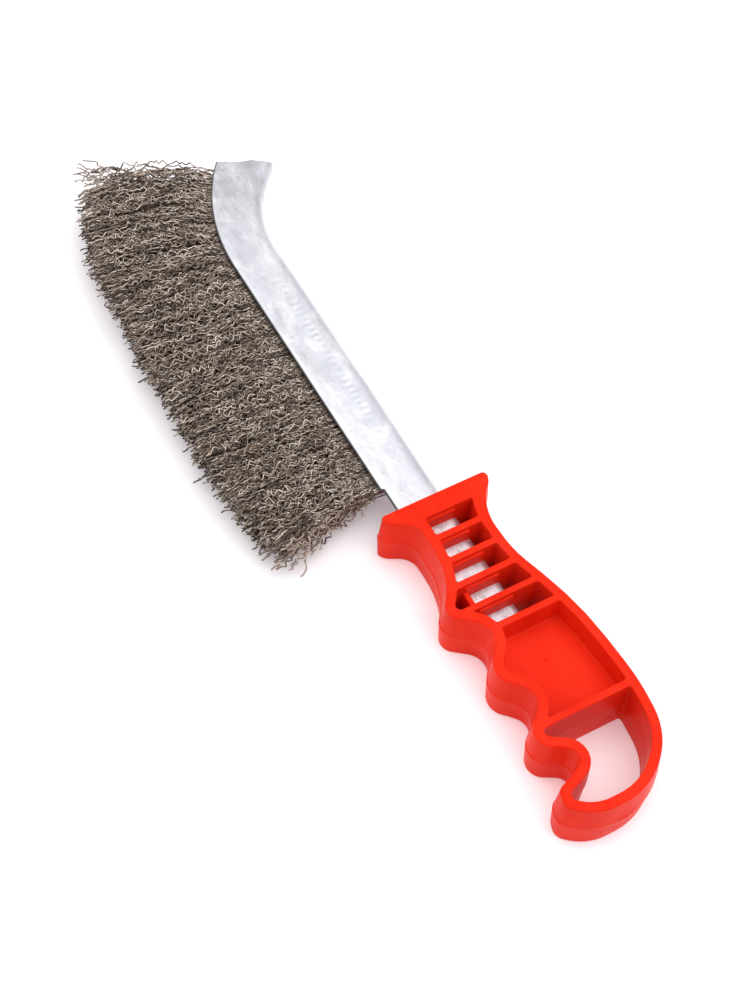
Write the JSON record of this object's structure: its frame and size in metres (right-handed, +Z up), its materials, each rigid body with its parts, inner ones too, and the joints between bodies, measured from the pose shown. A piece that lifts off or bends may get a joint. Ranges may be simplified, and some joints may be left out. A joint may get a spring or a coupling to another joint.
{
  "type": "wire brush",
  "caption": "Hand wire brush lying on its side: crimped steel wires in a folded steel channel that curves back at the toe, with a ribbed plastic finger grip and hanging loop.",
  "frame": {"origin": "on the floor plane, centred in X and Y on the whole brush as it lies on its side", "axes": "+X runs from the toe to the hanging loop, the wires point to -Y, +Z is up through the thickness of the grip"},
  "size_m": [0.263, 0.0708, 0.02],
  "materials": {
    "grip_plastic": "injection moulded, satin gloss, orange red",
    "galvanised_sheet": "rolled galvanised sheet, dull",
    "core_steel": "drawn wire",
    "crimped_wire": "drawn and crimped spring steel wire"
  },
  "bodies": {
    "root": {"handle": "grip_plastic", "channel": "galvanised_sheet", "core_wire": "core_steel", "wire_bundle_01": "crimped_wire", "wire_bundle_02": "crimped_wire", "wire_bundle_03": "crimped_wire", "wire_bundle_04": "crimped_wire", "wire_bundle_05": "crimped_wire", "wire_bundle_06": "crimped_wire", "wire_bundle_07": "crimped_wire", "wire_bundle_08": "crimped_wire", "wire_bundle_09": "crimped_wire", "wire_bundle_10": "crimped_wire", "wire_bundle_11": "crimped_wire", "wire_bundle_12": "crimped_wire", "wire_bundle_13": "crimped_wire", "wire_bundle_14": "crimped_wire", "wire_bundle_15": "crimped_wire", "wire_bundle_16": "crimped_wire", "wire_bundle_17": "crimped_wire", "wire_bundle_18": "crimped_wire", "wire_bundle_19": "crimped_wire", "wire_bundle_20": "crimped_wire", "wire_bundle_21": "crimped_wire", "wire_bundle_22": "crimped_wire", "wire_bundle_23": "crimped_wire", "wire_bundle_24": "crimped_wire"}
  },
  "joints": []
}
